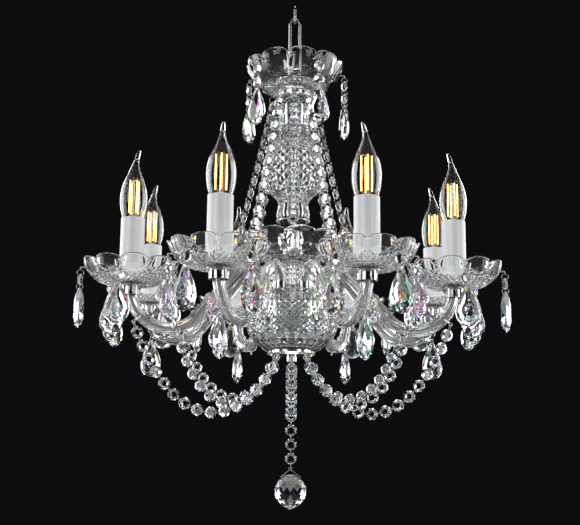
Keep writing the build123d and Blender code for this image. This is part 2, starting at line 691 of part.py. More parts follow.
def lamp_holder():
    top = SLEEVE_TOP_Z - HOLDER_BELOW_SLEEVE
    low = PAN_FLOOR_Z + HOLDER_LIFT
    holder = rod(HOLDER_R, low, top)
    holder -= rod(CAP_R + CAP_CLEARANCE, top - CAP_LENGTH - CAP_CLEARANCE, top + 1)
    holder -= rod(NIPPLE_R + CEMENT_GAP, low - 1, CUP_TOP_Z + NIPPLE_HEIGHT + CEMENT_GAP)
    holder -= rod(NIPPLE_BORE_R, low, top)
    return solid_of(holder)


def bulb_glass():
    """A bent-tip flame envelope, its z = 0 at the sleeve's top edge."""
    profile = [(0.60, -0.04), (0.73, 0.0), (0.87, 0.09), (0.97, 0.18), (1.0, 0.275), (0.975, 0.37)]
    profile += [(0.89, 0.465), (0.72, 0.57), (0.52, 0.665), (0.36, 0.74)]
    outer = [(r * BULB_R, z * BULB_HEIGHT) for r, z in profile]
    inner = [(r - BULB_GLASS_WALL, z) for r, z in outer]
    inner[0] = (inner[0][0], outer[0][1] + BULB_GLASS_WALL)
    body = turned([(0, outer[0][1])] + outer + [(0, outer[-1][1])])
    body -= turned([(0, inner[0][1])] + inner[:-1] + [(0, inner[-2][1])])
    tip_low = outer[-1]
    rings = []
    for share, size in ((0.0, 1.0), (0.35, 0.62), (0.7, 0.34), (1.0, 0.16)):
        z = tip_low[1] + share * (BULB_HEIGHT - tip_low[1])
        place = Pos(BULB_TIP_BEND * share ** 2, 0, z)
        rings.append(place * Circle(tip_low[0] * size).face())
    return solid_of(body + loft(rings, ruled=True))


def bulb_base():
    """The screw cap, the stem and the filaments inside the glass."""
    cap_top = -HOLDER_BELOW_SLEEVE
    ridge = 0.35
    points = [(0, cap_top)]
    threads = 6
    pitch = CAP_LENGTH * 0.7 / threads
    for k in range(threads):
        points.append((CAP_R, cap_top - k * pitch))
        points.append((CAP_R - ridge * 2, cap_top - (k + 0.5) * pitch))
    bottom = cap_top - CAP_LENGTH
    points += [(CAP_R, cap_top - threads * pitch), (CAP_R * 0.5, bottom + 1.5), (CAP_R * 0.35, bottom), (0, bottom)]
    cap = turned(points)
    glass_low = -0.04 * BULB_HEIGHT
    stem_low = glass_low + BULB_GLASS_WALL
    stem_high = FILAMENT_LOW - STEM_BELOW_FILAMENTS
    filament_high = FILAMENT_LOW + FILAMENT_LENGTH
    stem = rod(STEM_R, stem_low, stem_high)
    stem += rod(SUPPORT_ROD_R, stem_high - SUPPORT_R, filament_high + 4 * SUPPORT_R)
    for level in (FILAMENT_LOW - SUPPORT_R, filament_high + SUPPORT_R):
        for k in range(FILAMENTS):
            arm = Pos(FILAMENT_CIRCLE_R / 2, 0, level) * Rot(0, 90, 0) * Cylinder(SUPPORT_R, FILAMENT_CIRCLE_R)
            stem += Rot(0, 0, (k + 0.5) * 360 / FILAMENTS) * arm
    cap += rod(CAP_R, cap_top, glass_low)
    pieces = [solid_of(cap), solid_of(stem)]
    for k in range(FILAMENTS):
        place = Pos(polar((k + 0.5) * 360 / FILAMENTS, FILAMENT_CIRCLE_R - FILAMENT_R))
        pieces.append(place * solid_of(rod(FILAMENT_R, FILAMENT_LOW, filament_high)))
    return pieces


# Which way each bulb's bent tip points, in degrees anticlockwise from +X, from the front left arm on
TIP_ANGLES = (75, 165, 170, 170, 80, 100, 10, 15)


# ---------------------------------------------------------------- strands
def hanging_curve(start, end, length):
    """Points every millimetre along a chain of one length that hangs between two points."""
    flat = Vector(end.X - start.X, end.Y - start.Y, 0)
    span, rise = flat.length, end.Z - start.Z
    straight = math.hypot(span, rise)
    if length <= straight:
        raise ValueError("the strand is shorter than the distance it spans")
    low, high = 1e-6, 60.0
    target = math.sqrt(length ** 2 - rise ** 2) / span
    for _ in range(200):
        middle = (low + high) / 2
        if math.sinh(middle) / middle < target:
            low = middle
        else:
            high = middle
    scale = span / (2 * low)
    offset = span / 2 - scale * math.asinh(rise / (2 * scale * math.sinh(low)))

    def arc(x):
        return scale * math.sinh((x - offset) / scale)

    def point(distance):
        x = offset + scale * math.asinh((arc(0) + distance) / scale)
        z = scale * (math.cosh((x - offset) / scale) - math.cosh(-offset / scale))
        return start + flat * (x / span) + Vector(0, 0, z)

    return point


def strand(start, end, beads, lead, across):
    """Beads and links of one strand, from the eye at start to the eye at end."""
    length = (beads - 1) * BEAD_PITCH + 2 * lead
    point = hanging_curve(start, end, length)
    pieces = []
    hole = start
    for k in range(beads):
        centre_at = lead + k * BEAD_PITCH
        low, high = point(centre_at - BEAD_HOLE_OUT), point(centre_at + BEAD_HOLE_OUT)
        along = (high - low).normalized()
        centre = (low + high) * 0.5
        face = across(along)
        pieces.append(placed_bead(centre, along, face))
        near = centre - along * BEAD_HOLE_OUT
        pieces.append(link_between(hole, near, face))
        hole = centre + along * BEAD_HOLE_OUT
    pieces.append(link_between(hole, end, face))
    return pieces


def column_strands():
    """Eight straight strands from the collar's eyes to pins in the central dish's wall."""
    pieces = []
    curve = dish_curve(DISH_R, DISH_HEIGHT, DISH_FOOT_R)
    pin_z = DISH_HEIGHT - COLUMN_PIN_BELOW_RIM
    wall_r = wall_radius(curve, pin_z)
    for k in range(COLUMN_STRANDS):
        angle = k * 360 / COLUMN_STRANDS
        out = polar(angle, 1)
        top_eye = polar(angle, COLLAR_R + COLUMN_EYE_OUT, COLLAR_EYE_Z - EYE_R)
        low_eye = polar(angle, wall_r + COLUMN_PIN_STAND_OFF, CENTRAL_DISH_Z + pin_z - EYE_R)
        start = top_eye - Vector(0, 0, EYE_HANG)
        end = low_eye + Vector(0, 0, EYE_HANG)
        length = (end - start).length * (1 + COLUMN_SLACK)
        lead = (length - (COLUMN_BEADS - 1) * BEAD_PITCH) / 2
        tangent = Vector(0, 0, 1).cross(out)
        pieces += strand(start, end, COLUMN_BEADS, lead, lambda along: along.cross(tangent))
        pin = Pos(0, 0, CENTRAL_DISH_Z + pin_z - EYE_R) * pendant_pin(wall_r, COLUMN_PIN_STAND_OFF)
        pieces.append(Rot(0, 0, angle) * solid_of(pin))
    return pieces


# Each swag: the arm it starts from, the turn of its clip round the bend, its number of octagons and the
# angle of its eye under the bottom plate
SWAGS = (
    {"arm": 7, "clip": OUTER_CLIP_TURN, "beads": 15, "plate_angle": 220.0},
    {"arm": 7, "clip": INNER_CLIP_TURN, "beads": 11, "plate_angle": 185.0},
    {"arm": 6, "clip": INNER_CLIP_TURN, "beads": 10, "plate_angle": 150.0},
    {"arm": 2, "clip": OUTER_CLIP_TURN, "beads": 15, "plate_angle": -40.0},
    {"arm": 2, "clip": INNER_CLIP_TURN, "beads": 11, "plate_angle": -5.0},
    {"arm": 3, "clip": INNER_CLIP_TURN, "beads": 10, "plate_angle": 30.0},
)


def swag_start(swag):
    return Rot(0, 0, arm_angle(swag["arm"])) * Pos(on_bend(swag["clip"], CLIP_EYE_OUT))


def swag_heading(swag):
    """The direction in plan from the plate's eye to the clip's eye."""
    outer = swag_start(swag).position
    inner = polar(swag["plate_angle"], PLATE_HOOK_R)
    return math.degrees(math.atan2(outer.Y - inner.Y, outer.X - inner.X))


def swag_strands():
    pieces = []
    for swag in SWAGS:
        outer = swag_start(swag).position - Vector(0, 0, EYE_HANG)
        inner = polar(swag["plate_angle"], PLATE_HOOK_R, PLATE_Z - EYE_DROP - EYE_R - EYE_HANG)
        heading = swag_heading(swag)
        face = polar(heading + 90, 1)
        pieces += strand(outer, inner, swag["beads"], SWAG_LEAD, lambda along: face)
    for side in (-1, 1):
        low_wire = PLATE_Z - EYE_DROP - 2 * EYE_R + EYE_WIRE
        top = Vector(0, side * TASSEL_OUT, low_wire + LINK_WIRE + LOOSE_GAP)
        pieces += tassel(top, TASSEL_BEADS)
    return pieces


def tassel(top, beads):
    """A strand that hangs straight down from an eye, its faces along Y."""
    across, down = Vector(0, 1, 0), Vector(0, 0, -1)
    pieces = [link_at(top + down * LINK_R, down, across, LINK_R)]
    hole = top + down * (2 * LINK_R - LINK_LEAN)
    for k in range(beads):
        pieces.append(placed_bead(hole + down * BEAD_HOLE_OUT, down, across))
        hole = hole + down * (2 * BEAD_HOLE_OUT)
        if k < beads - 1:
            pieces.append(link_between(hole, hole + down * LINK_GAP, across))
            hole = hole + down * LINK_GAP
    return pieces


def drop_strand():
    """The middle strand under the bottom nut, with the hanger of the ball at its lower end."""
    top = Vector(0, 0, DROP_EYE_Z - DROP_EYE_R + 2 * EYE_WIRE + LINK_WIRE + LOOSE_GAP)
    pieces = tassel(top, DROP_BEADS)
    hole = drop_end(top)
    down = Vector(0, 0, -1)
    pieces.append(link_between(hole, hole + down * LINK_GAP, Vector(0, 1, 0)))
    hanger_top = hole.Z - LINK_GAP
    hanger = Pos(0, 0, hanger_top) * eye((0, 1, 0), major=HANGER_EYE_R)
    foot_z = hanger_top - HANGER_DROP
    for side in (-1, 1):
        leg = Line((side * HANGER_EYE_R / 2, 0, hanger_top - HANGER_EYE_R), (side * HANGER_SPREAD, 0, foot_z))
        hanger += Plane(origin=leg @ 0, z_dir=leg % 0) * rod(EYE_WIRE, -EYE_WIRE, leg.length)
        hanger += Pos(side * HANGER_SPREAD, 0, foot_z) * Sphere(EYE_WIRE)
    hanger += Pos(0, 0, foot_z) * Rot(0, 90, 0) * Cylinder(EYE_WIRE, 2 * HANGER_SPREAD)
    pieces.append(solid_of(hanger))
    return pieces


def drop_end(top):
    """The lower hole of the last octagon of the middle strand."""
    length = 2 * LINK_R - LINK_LEAN + DROP_BEADS * 2 * BEAD_HOLE_OUT + (DROP_BEADS - 1) * LINK_GAP
    return top - Vector(0, 0, length)


BALL_HOLE_Z = BALL_R - BALL_HOLE_DOWN
HANGER_SPREAD = math.sqrt(BALL_R ** 2 - BALL_HOLE_Z ** 2) + HANGER_CLEARANCE


def ball_place():
    top = Vector(0, 0, DROP_EYE_Z - DROP_EYE_R + 2 * EYE_WIRE + LINK_WIRE + LOOSE_GAP)
    foot_z = drop_end(top).Z - LINK_GAP - HANGER_DROP
    return Pos(0, 0, foot_z - BALL_HOLE_Z)


# ---------------------------------------------------------------- groups
def top_pendant(index):
    """One pendant of the top dish with its faces away from the column."""
    curve = dish_curve(DISH_R, DISH_HEIGHT, DISH_FOOT_R)
    pin_z = DISH_HEIGHT - PIN_BELOW_RIM
    reach = wall_radius(curve, pin_z) + PIN_STAND_OFF
    angle = top_pendant_angle(index)
    place = Rot(0, 0, angle) * Pos(reach, 0, TOP_DISH_Z + pin_z - EYE_R)
    return [place * piece for piece in pendant(2)]


def top_pendant_angle(index):
    return FRONT + DISH_TURN + 18 + index * 360 / PENDANTS_PER_DISH


FRONT = -90.0


def pan_turn(index):
    """The pans left and right of the front mirror each other."""
    left = math.cos(math.radians(arm_angle(index))) < 0
    return -DISH_TURN if left else DISH_TURN


def hanging_pendants():
    """The pendants of all the pans with their pins, the pins of the top dish and the drops under the arms."""
    pieces = []
    curve = dish_curve(PAN_R, PAN_HEIGHT, PAN_FOOT_R)
    pin_z = PAN_HEIGHT - PIN_BELOW_RIM
    wall_r = wall_radius(curve, pin_z)
    for k in range(ARMS):
        for angle in pin_angles():
            turn = candle_place(k) * Rot(0, 0, pan_turn(k) + angle) * Pos(0, 0, CUP_TOP_Z + pin_z - EYE_R)
            pieces.append(turn * solid_of(pendant_pin(wall_r)))
            pieces += [turn * Pos(wall_r + PIN_STAND_OFF, 0, 0) * piece for piece in pendant(1)]
    dish_pin_z = DISH_HEIGHT - PIN_BELOW_RIM
    dish_wall = wall_radius(dish_curve(DISH_R, DISH_HEIGHT, DISH_FOOT_R), dish_pin_z)
    for k in range(PENDANTS_PER_DISH):
        turn = Rot(0, 0, top_pendant_angle(k)) * Pos(0, 0, TOP_DISH_Z + dish_pin_z - EYE_R)
        pieces.append(turn * solid_of(pendant_pin(dish_wall)))
    swag_arms = {swag["arm"] for swag in SWAGS if swag["clip"] == OUTER_CLIP_TURN}
    for k in range(ARMS):
        if k not in swag_arms:
            place = Rot(0, 0, arm_angle(k)) * Pos(on_bend(OUTER_CLIP_TURN, CLIP_EYE_OUT)) * Rot(0, 0, 90)
            pieces += [place * piece for piece in pendant(0)]
    return pieces


def save(name, pieces):
    shape = Compound(pieces) if isinstance(pieces, list) else solid_of(pieces)
    export_step(shape, f"parts/{name}.step")


def main():
    os.makedirs("parts", exist_ok=True)
    save("hanging_link", hanging_link())
    save("hanging_bail", hanging_bail())
    save("top_nut", top_nut())
    save("centre_tube", centre_tube())
    notch = FRONT + DISH_TURN + 18
    top_dish = dish(DISH_R, DISH_HEIGHT, DISH_FOOT_R, BORE_R, pin_angles())
    save("top_dish", Pos(0, 0, TOP_DISH_Z) * Rot(0, 0, notch) * top_dish)
    save("column_collars", column_collars())
    save("vase_neck", vase_neck())
    save("ball_body", ball_body())
    save("lower_neck", lower_neck())
    strand_pins = [k * 360 / COLUMN_STRANDS - notch for k in range(COLUMN_STRANDS)]
    central_dish = dish(DISH_R, DISH_HEIGHT, DISH_FOOT_R, BORE_R, strand_pins, COLUMN_PIN_BELOW_RIM)
    save("central_dish", Pos(0, 0, CENTRAL_DISH_Z) * Rot(0, 0, notch) * central_dish)
    save("hub_neck", hub_neck())
    save("arm_hub", arm_hub())
    save("bottom_bowl", bottom_bowl())
    save("bottom_plate", bottom_plate())
    arm = swept_arm(Circle(ARM_R) - Circle(ARM_BORE_R))
    wire = swept_arm(Circle(WIRE_R))
    pan = dish(PAN_R, PAN_HEIGHT, PAN_FOOT_R, NIPPLE_R + CEMENT_GAP, pin_angles())
    glass = bulb_glass()
    base = bulb_base()
    for k in range(ARMS):
        save(f"arm_{k + 1}", Rot(0, 0, arm_angle(k)) * arm)
        save(f"drip_pan_{k + 1}", candle_place(k) * Pos(0, 0, CUP_TOP_Z) * Rot(0, 0, pan_turn(k)) * pan)
        bulb = Pos(polar(arm_angle(k), CANDLE_CIRCLE_R, SLEEVE_TOP_Z)) * Rot(0, 0, TIP_ANGLES[k])
        save(f"bulb_{k + 1}_glass", bulb * glass)
        save(f"bulb_{k + 1}_base", [bulb * piece for piece in base])
    save("lamp_wires", [Rot(0, 0, arm_angle(k)) * wire for k in range(ARMS)])
    save("arm_fittings", arm_fittings())
    save("candle_sleeves", [candle_place(k) * solid_of(candle_sleeve()) for k in range(ARMS)])
    save("lamp_holders", [candle_place(k) * lamp_holder() for k in range(ARMS)])
    for k in range(PENDANTS_PER_DISH):
        save(f"top_pendant_{k + 1}", top_pendant(k))
    save("hanging_pendants", hanging_pendants())
    save("column_strands", column_strands())
    save("swag_strands", swag_strands())
    save("drop_strand", drop_strand())
    save("crystal_ball", ball_place() * crystal_ball())


main()
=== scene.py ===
import math

import bmesh
import bpy
import numpy as np
from mathutils import Matrix, Vector


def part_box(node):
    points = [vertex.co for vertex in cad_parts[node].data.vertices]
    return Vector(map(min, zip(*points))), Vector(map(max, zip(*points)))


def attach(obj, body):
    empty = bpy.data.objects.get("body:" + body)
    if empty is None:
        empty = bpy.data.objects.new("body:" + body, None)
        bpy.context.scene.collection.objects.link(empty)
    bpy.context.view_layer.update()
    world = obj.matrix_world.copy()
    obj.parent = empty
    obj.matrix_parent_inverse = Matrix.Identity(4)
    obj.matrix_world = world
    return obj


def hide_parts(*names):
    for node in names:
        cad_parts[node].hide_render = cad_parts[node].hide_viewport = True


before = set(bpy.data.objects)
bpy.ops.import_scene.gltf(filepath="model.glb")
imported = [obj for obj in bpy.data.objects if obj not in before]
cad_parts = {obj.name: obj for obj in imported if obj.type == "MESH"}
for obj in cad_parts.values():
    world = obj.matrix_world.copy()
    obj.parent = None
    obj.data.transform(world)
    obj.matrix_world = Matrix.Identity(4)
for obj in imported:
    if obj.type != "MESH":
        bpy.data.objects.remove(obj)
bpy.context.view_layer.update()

# ---------------------------------------------------------------- sizes, in millimetres
MM = 0.001
PETALS = 10
GLASS_WALL = 3.6
PETAL_DROP = 5.5
PETAL_NOTCH = 2.6
CUT_DEPTH = 1.5
LENS_DEPTH = 1.8
# Rim radius, height and foot radius of a dish. Then its diamond cuts: how many to a petal, how tall for their
# width and how far up the wall. Then the lens of each petal: its place up the wall, its radius as a share of the
# rim's and how tall it is for its width.
WIDE_DISH = {
    "rim_r": 66.5, "height": 38.7, "foot_r": 21.0,
    "cuts": 4, "cut_tall": 1.0, "cuts_to": 0.36, "lens_at": 0.70, "lens_share": 0.245, "lens_tall": 1.16,
}
DRIP_PAN = {
    "rim_r": 59.0, "height": 30.0, "foot_r": 16.0,
    "cuts": 4, "cut_tall": 1.5, "cuts_to": 1.0, "lens_at": 0.83, "lens_share": 0.25, "lens_tall": 1.0,
}
DISH_COLUMNS = 200
WIDE_DISH_TURN = -62.6
DRIP_PAN_TURN = 9.4
TOP_PENDANTS = 5
# Solids of a hanging node up to the first volume are wire, and over the second one drops, in cubic millimetres
SMALLEST_STONE = 300.0
SMALLEST_DROP = 3000.0
WIDEST_FILAMENT = 4
ARMS = 8
FIRST_ARM_ANGLE = -112.5
CANDLE_CIRCLE_R = 214.0
SOCKET_CIRCLE_R = 38.0
ARM_R = 7.6
SAME_POINT = 2e-6
FILAMENT_TURN = math.radians(-22.0)
BULB_R = 17.5
BULB_HEIGHT = 89.5
TUBE_BORE_R = 5.15


def level(node, end):
    """The lowest (0) or highest (1) level of a node, in millimetres."""
    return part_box(node)[end].z / MM


def arm_angle(index):
    return FIRST_ARM_ANGLE + index * 360 / ARMS


def candle_place(index, z):
    """The point at a level on a candle's own axis."""
    angle = math.radians(arm_angle(index))
    return CANDLE_CIRCLE_R * math.cos(angle), CANDLE_CIRCLE_R * math.sin(angle), z


# ---------------------------------------------------------------- material effects
def effect(name, inputs, output):
    """An empty shader node group with named inputs and one named output."""
    group = bpy.data.node_groups.new(name, "ShaderNodeTree")
    for label, kind, value in inputs:
        socket = group.interface.new_socket(label, in_out="INPUT", socket_type=kind)
        socket.default_value = value
    group.interface.new_socket(output[0], in_out="OUTPUT", socket_type=output[1])
    return group, group.nodes.new("NodeGroupInput"), group.nodes.new("NodeGroupOutput")


def add(tree, kind, **settings):
    node = tree.nodes.new(kind)
    for key, value in settings.items():
        setattr(node, key, value)
    return node


def math_node(tree, operation, first, second):
    node = add(tree, "ShaderNodeMath", operation=operation)
    for socket, value in zip(node.inputs, (first, second)):
        if isinstance(value, (int, float)):
            socket.default_value = value
        else:
            tree.links.new(value, socket)
    return node.outputs[0]


def colour_input(mix, label):
    """The colour socket A or B of a Mix node, which also has number and vector sockets of that name."""
    return next(s for s in mix.inputs if s.name == label and s.type == "RGBA")


def colour_result(mix):
    return next(s for s in mix.outputs if s.type == "RGBA")


def painted_facet_fire():
    """Painted fire: each cut facet takes its own faint rainbow tint, stronger in some stones than in others, a
    painted stand-in for the coloured glints that light splits into in cut crystal.
    """
    group, given, result = effect("painted_facet_fire", [
        ("Glass", "NodeSocketColor", (0.98, 0.99, 1.0, 1.0)),
        ("Fire", "NodeSocketFloat", 0.5),
        ("Spread", "NodeSocketFloat", 3.6),
    ], ("Colour", "NodeSocketColor"))
    links = group.links
    facing = add(group, "ShaderNodeNewGeometry")
    spread = add(group, "ShaderNodeVectorMath", operation="SCALE")
    links.new(facing.outputs["True Normal"], spread.inputs[0])
    links.new(given.outputs["Spread"], spread.inputs["Scale"])
    place = add(group, "ShaderNodeVectorMath", operation="SCALE")
    place.inputs["Scale"].default_value = 45.0
    links.new(facing.outputs["Position"], place.inputs[0])
    both = add(group, "ShaderNodeVectorMath", operation="ADD")
    links.new(spread.outputs[0], both.inputs[0])
    links.new(place.outputs[0], both.inputs[1])
    painted_glint_hues = add(group, "ShaderNodeTexNoise")
    painted_glint_hues.inputs["Scale"].default_value = 1.0
    painted_glint_hues.inputs["Detail"].default_value = 0.0
    links.new(both.outputs[0], painted_glint_hues.inputs["Vector"])
    # Painted glints: the hues are made vivid and brighter than white
    vivid = add(group, "ShaderNodeHueSaturation")
    vivid.inputs["Saturation"].default_value = 2.5
    vivid.inputs["Value"].default_value = 1.75
    links.new(painted_glint_hues.outputs["Color"], vivid.inputs["Color"])
    strength = add(group, "ShaderNodeTexNoise")
    strength.inputs["Scale"].default_value = 1.7
    strength.inputs["Detail"].default_value = 0.0
    links.new(both.outputs[0], strength.inputs["Vector"])
    chosen = add(group, "ShaderNodeMapRange")
    chosen.inputs["From Min"].default_value = 0.56
    chosen.inputs["From Max"].default_value = 0.70
    links.new(strength.outputs["Fac"], chosen.inputs["Value"])
    share = math_node(group, "MULTIPLY", chosen.outputs["Result"], given.outputs["Fire"])
    mixed = add(group, "ShaderNodeMix", data_type="RGBA")
    links.new(share, mixed.inputs["Factor"])
    links.new(given.outputs["Glass"], colour_input(mixed, "A"))
    links.new(vivid.outputs["Color"], colour_input(mixed, "B"))
    links.new(colour_result(mixed), result.inputs["Colour"])
    return group


def handling_marks():
    """A roughness that varies a little, as on glass and metal that have been polished and handled."""
    group, given, result = effect("handling_marks", [
        ("Roughness", "NodeSocketFloat", 0.1),
        ("Variation", "NodeSocketFloat", 0.1),
        ("Scale", "NodeSocketFloat", 60.0),
    ], ("Roughness", "NodeSocketFloat"))
    place = add(group, "ShaderNodeTexCoord")
    marks = add(group, "ShaderNodeTexNoise")
    marks.inputs["Detail"].default_value = 3.0
    group.links.new(place.outputs["Object"], marks.inputs["Vector"])
    group.links.new(given.outputs["Scale"], marks.inputs["Scale"])
    above = math_node(group, "SUBTRACT", marks.outputs["Fac"], 0.45)
    varied = math_node(group, "MULTIPLY", above, given.outputs["Variation"])
    total = math_node(group, "ADD", varied, given.outputs["Roughness"])
    group.links.new(math_node(group, "MAXIMUM", total, 0.0), result.inputs["Roughness"])
    return group


def surface_ripple():
    """The height of a faint unevenness, as in hand-finished glass or turned metal."""
    group, given, result = effect("surface_ripple", [
        ("Scale", "NodeSocketFloat", 120.0),
        ("Stretch", "NodeSocketFloat", 1.0),
    ], ("Height", "NodeSocketFloat"))
    place = add(group, "ShaderNodeTexCoord")
    axes = add(group, "ShaderNodeCombineXYZ")
    axes.inputs[0].default_value = 1.0
    axes.inputs[1].default_value = 1.0
    group.links.new(given.outputs["Stretch"], axes.inputs[2])
    drawn = add(group, "ShaderNodeVectorMath", operation="MULTIPLY")
    group.links.new(place.outputs["Object"], drawn.inputs[0])
    group.links.new(axes.outputs[0], drawn.inputs[1])
    ripple = add(group, "ShaderNodeTexNoise")
    ripple.inputs["Detail"].default_value = 2.0
    group.links.new(drawn.outputs[0], ripple.inputs["Vector"])
    group.links.new(given.outputs["Scale"], ripple.inputs["Scale"])
    group.links.new(ripple.outputs["Fac"], result.inputs["Height"])
    return group


def tone_drift():
    """A colour that drifts between two close tones, as on metal and painted card."""
    group, given, result = effect("tone_drift", [
        ("Dark", "NodeSocketColor", (0.5, 0.5, 0.5, 1.0)),
        ("Light", "NodeSocketColor", (0.8, 0.8, 0.8, 1.0)),
        ("Scale", "NodeSocketFloat", 30.0),
    ], ("Colour", "NodeSocketColor"))
    place = add(group, "ShaderNodeTexCoord")
    tone = add(group, "ShaderNodeTexNoise")
    tone.inputs["Detail"].default_value = 3.0
    group.links.new(place.outputs["Object"], tone.inputs["Vector"])
    group.links.new(given.outputs["Scale"], tone.inputs["Scale"])
    mixed = add(group, "ShaderNodeMix", data_type="RGBA")
    group.links.new(tone.outputs["Fac"], mixed.inputs["Factor"])
    group.links.new(given.outputs["Dark"], colour_input(mixed, "A"))
    group.links.new(given.outputs["Light"], colour_input(mixed, "B"))
    group.links.new(colour_result(mixed), result.inputs["Colour"])
    return group


PAINTED_FACET_FIRE = painted_facet_fire()
HANDLING_MARKS = handling_marks()
SURFACE_RIPPLE = surface_ripple()
TONE_DRIFT = tone_drift()


def shader(name):
    material = bpy.data.materials.new(name)
    material.use_nodes = True
    return material, material.node_tree, material.node_tree.nodes["Principled BSDF"]


def placed_effect(tree, group, target, **values):
    """An effect in a material, with its own values, feeding one socket."""
    node = add(tree, "ShaderNodeGroup", node_tree=group)
    for label, value in values.items():
        node.inputs[label].default_value = value
    tree.links.new(node.outputs[0], target)
    return node


def rippled(tree, surface, scale, depth, stretch=1.0):
    bump = add(tree, "ShaderNodeBump")
    bump.inputs["Distance"].default_value = depth
    bump.inputs["Strength"].default_value = 1.0
    placed_effect(tree, SURFACE_RIPPLE, bump.inputs["Height"], Scale=scale, Stretch=stretch)
    tree.links.new(bump.outputs["Normal"], surface.inputs["Normal"])


def crystal(name, glass, fire, ior, roughness, ripple, shade=0.85):
    """Clear lead crystal, its colour carrying painted fire: rainbow glints painted on some facets. Light that
    only crosses it on its way to another surface is let through.
    """
    material, tree, surface = shader(name)
    surface.inputs["Transmission Weight"].default_value = 1.0
    surface.inputs["IOR"].default_value = ior
    # The base colour carries painted fire: rainbow glints painted on some facets
    placed_effect(tree, PAINTED_FACET_FIRE, surface.inputs["Base Color"], Glass=(*glass, 1.0), Fire=fire)
    placed_effect(tree, HANDLING_MARKS, surface.inputs["Roughness"], Roughness=roughness, Variation=0.05)
    if ripple:
        rippled(tree, surface, 90.0, ripple)
    ray = add(tree, "ShaderNodeLightPath")
    held_back = math_node(tree, "MULTIPLY", ray.outputs["Is Shadow Ray"], shade)
    tree.links.new(math_node(tree, "SUBTRACT", 1.0, held_back), surface.inputs["Alpha"])
    return material


def polished_metal(name, colour, roughness):
    material, tree, surface = shader(name)
    surface.inputs["Metallic"].default_value = 1.0
    dark, light = (*[c * 0.75 for c in colour], 1.0), (*colour, 1.0)
    placed_effect(tree, TONE_DRIFT, surface.inputs["Base Color"], Dark=dark, Light=light, Scale=45.0)
    placed_effect(tree, HANDLING_MARKS, surface.inputs["Roughness"], Roughness=roughness, Variation=0.12)
    rippled(tree, surface, 260.0, 0.00004)
    return material


def candle_white(name, colour, roughness):
    """A satin white or grey plastic, its tone and gloss a little uneven."""
    material, tree, surface = shader(name)
    dark, light = (*[c * 0.92 for c in colour], 1.0), (*colour, 1.0)
    placed_effect(tree, TONE_DRIFT, surface.inputs["Base Color"], Dark=dark, Light=light, Scale=18.0)
    placed_effect(tree, HANDLING_MARKS, surface.inputs["Roughness"], Roughness=roughness, Variation=0.15)
    surface.inputs["Coat Weight"].default_value = 0.25
    rippled(tree, surface, 70.0, 0.00005, 0.2)
    return material


def filament_glow(name):
    """A row of small glowing chips under a warm coating."""
    material, tree, surface = shader(name)
    place = add(tree, "ShaderNodeTexCoord")
    chips = add(tree, "ShaderNodeTexWave", bands_direction="Z")
    chips.inputs["Scale"].default_value = 55.0
    tree.links.new(place.outputs["Object"], chips.inputs["Vector"])
    ramp = add(tree, "ShaderNodeValToRGB")
    ramp.color_ramp.elements[0].color = (1.0, 0.44, 0.10, 1.0)
    ramp.color_ramp.elements[1].color = (1.0, 0.66, 0.26, 1.0)
    tree.links.new(chips.outputs["Fac"], ramp.inputs["Fac"])
    tree.links.new(ramp.outputs["Color"], surface.inputs["Emission Color"])
    tree.links.new(ramp.outputs["Color"], surface.inputs["Base Color"])
    surface.inputs["Emission Strength"].default_value = 3.6
    surface.inputs["Roughness"].default_value = 0.6
    return material


# The third value of each crystal sets the strength of its painted fire: rainbow glints painted on its facets
CUT_STONE = crystal("cut_stone", (0.97, 0.985, 1.0), 0.85, 1.64, 0.004, 0.0)
OCTAGON_STONE = crystal("octagon_stone", (0.95, 0.975, 1.0), 0.2, 1.6, 0.03, 0.0)
CUT_CRYSTAL = crystal("cut_crystal", (0.96, 0.98, 0.99), 0.10, 1.56, 0.02, 0.00002)
COLUMN_CRYSTAL = crystal("column_crystal", (0.95, 0.975, 0.99), 0.05, 1.54, 0.11, 0.00002)
PRESSED_CRYSTAL = crystal("pressed_crystal", (0.975, 0.985, 0.99), 0.05, 1.55, 0.01, 0.00003)
DRAWN_CRYSTAL = crystal("drawn_crystal", (0.975, 0.985, 0.99), 0.05, 1.54, 0.012, 0.00004)
BULB_CRYSTAL = crystal("bulb_glass", (0.99, 0.99, 0.985), 0.0, 1.45, 0.0, 0.0, 0.97)
CHROME = polished_metal("polished_chrome", (0.80, 0.79, 0.77), 0.10)
BAIL_METAL = polished_metal("bail_metal", (0.36, 0.36, 0.37), 0.16)
LINK_WIRE = polished_metal("link_wire", (0.50, 0.48, 0.45), 0.20)
CAP_METAL = polished_metal("screw_cap_metal", (0.72, 0.66, 0.52), 0.22)
SLEEVE_WHITE = candle_white("candle_white", (0.71, 0.72, 0.73), 0.32)
HOLDER_WHITE = candle_white("holder_white", (0.70, 0.70, 0.67), 0.5)
WIRE_COAT = candle_white("wire_coat", (0.22, 0.23, 0.23), 0.45)
GLOW = filament_glow("filament_glow")


# ---------------------------------------------------------------- meshes
def piece(name, points, faces, material, body, stands_for=(), smooth=None, cut_material=None):
    """A piece from points in millimetres, riding on a body.

    smooth is one flag for each face, or one for all. The faces that aren't smooth can have a material of
    their own.
    """
    mesh = bpy.data.meshes.new(name)
    corners = faces.tolist() if isinstance(faces, np.ndarray) else faces
    mesh.from_pydata((np.asarray(points, float) * MM).tolist(), [], corners)
    mesh.materials.append(material)
    if smooth is not None:
        mesh.polygons.foreach_set("use_smooth", np.broadcast_to(smooth, len(mesh.polygons)).astype(bool))
    if cut_material:
        mesh.materials.append(cut_material)
        mesh.polygons.foreach_set("material_index", (~np.asarray(smooth)).astype(int))
    thing = bpy.data.objects.new(name, mesh)
    bpy.context.scene.collection.objects.link(thing)
    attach(thing, body)
    if stands_for:
        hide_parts(*stands_for)
    return thing


def outward(thing):
    """Turns all the faces of a closed piece to look out of its glass."""
    shape = bmesh.new()
    shape.from_mesh(thing.data)
    bmesh.ops.recalc_face_normals(shape, faces=shape.faces)
    shape.to_mesh(thing.data)
    shape.free()


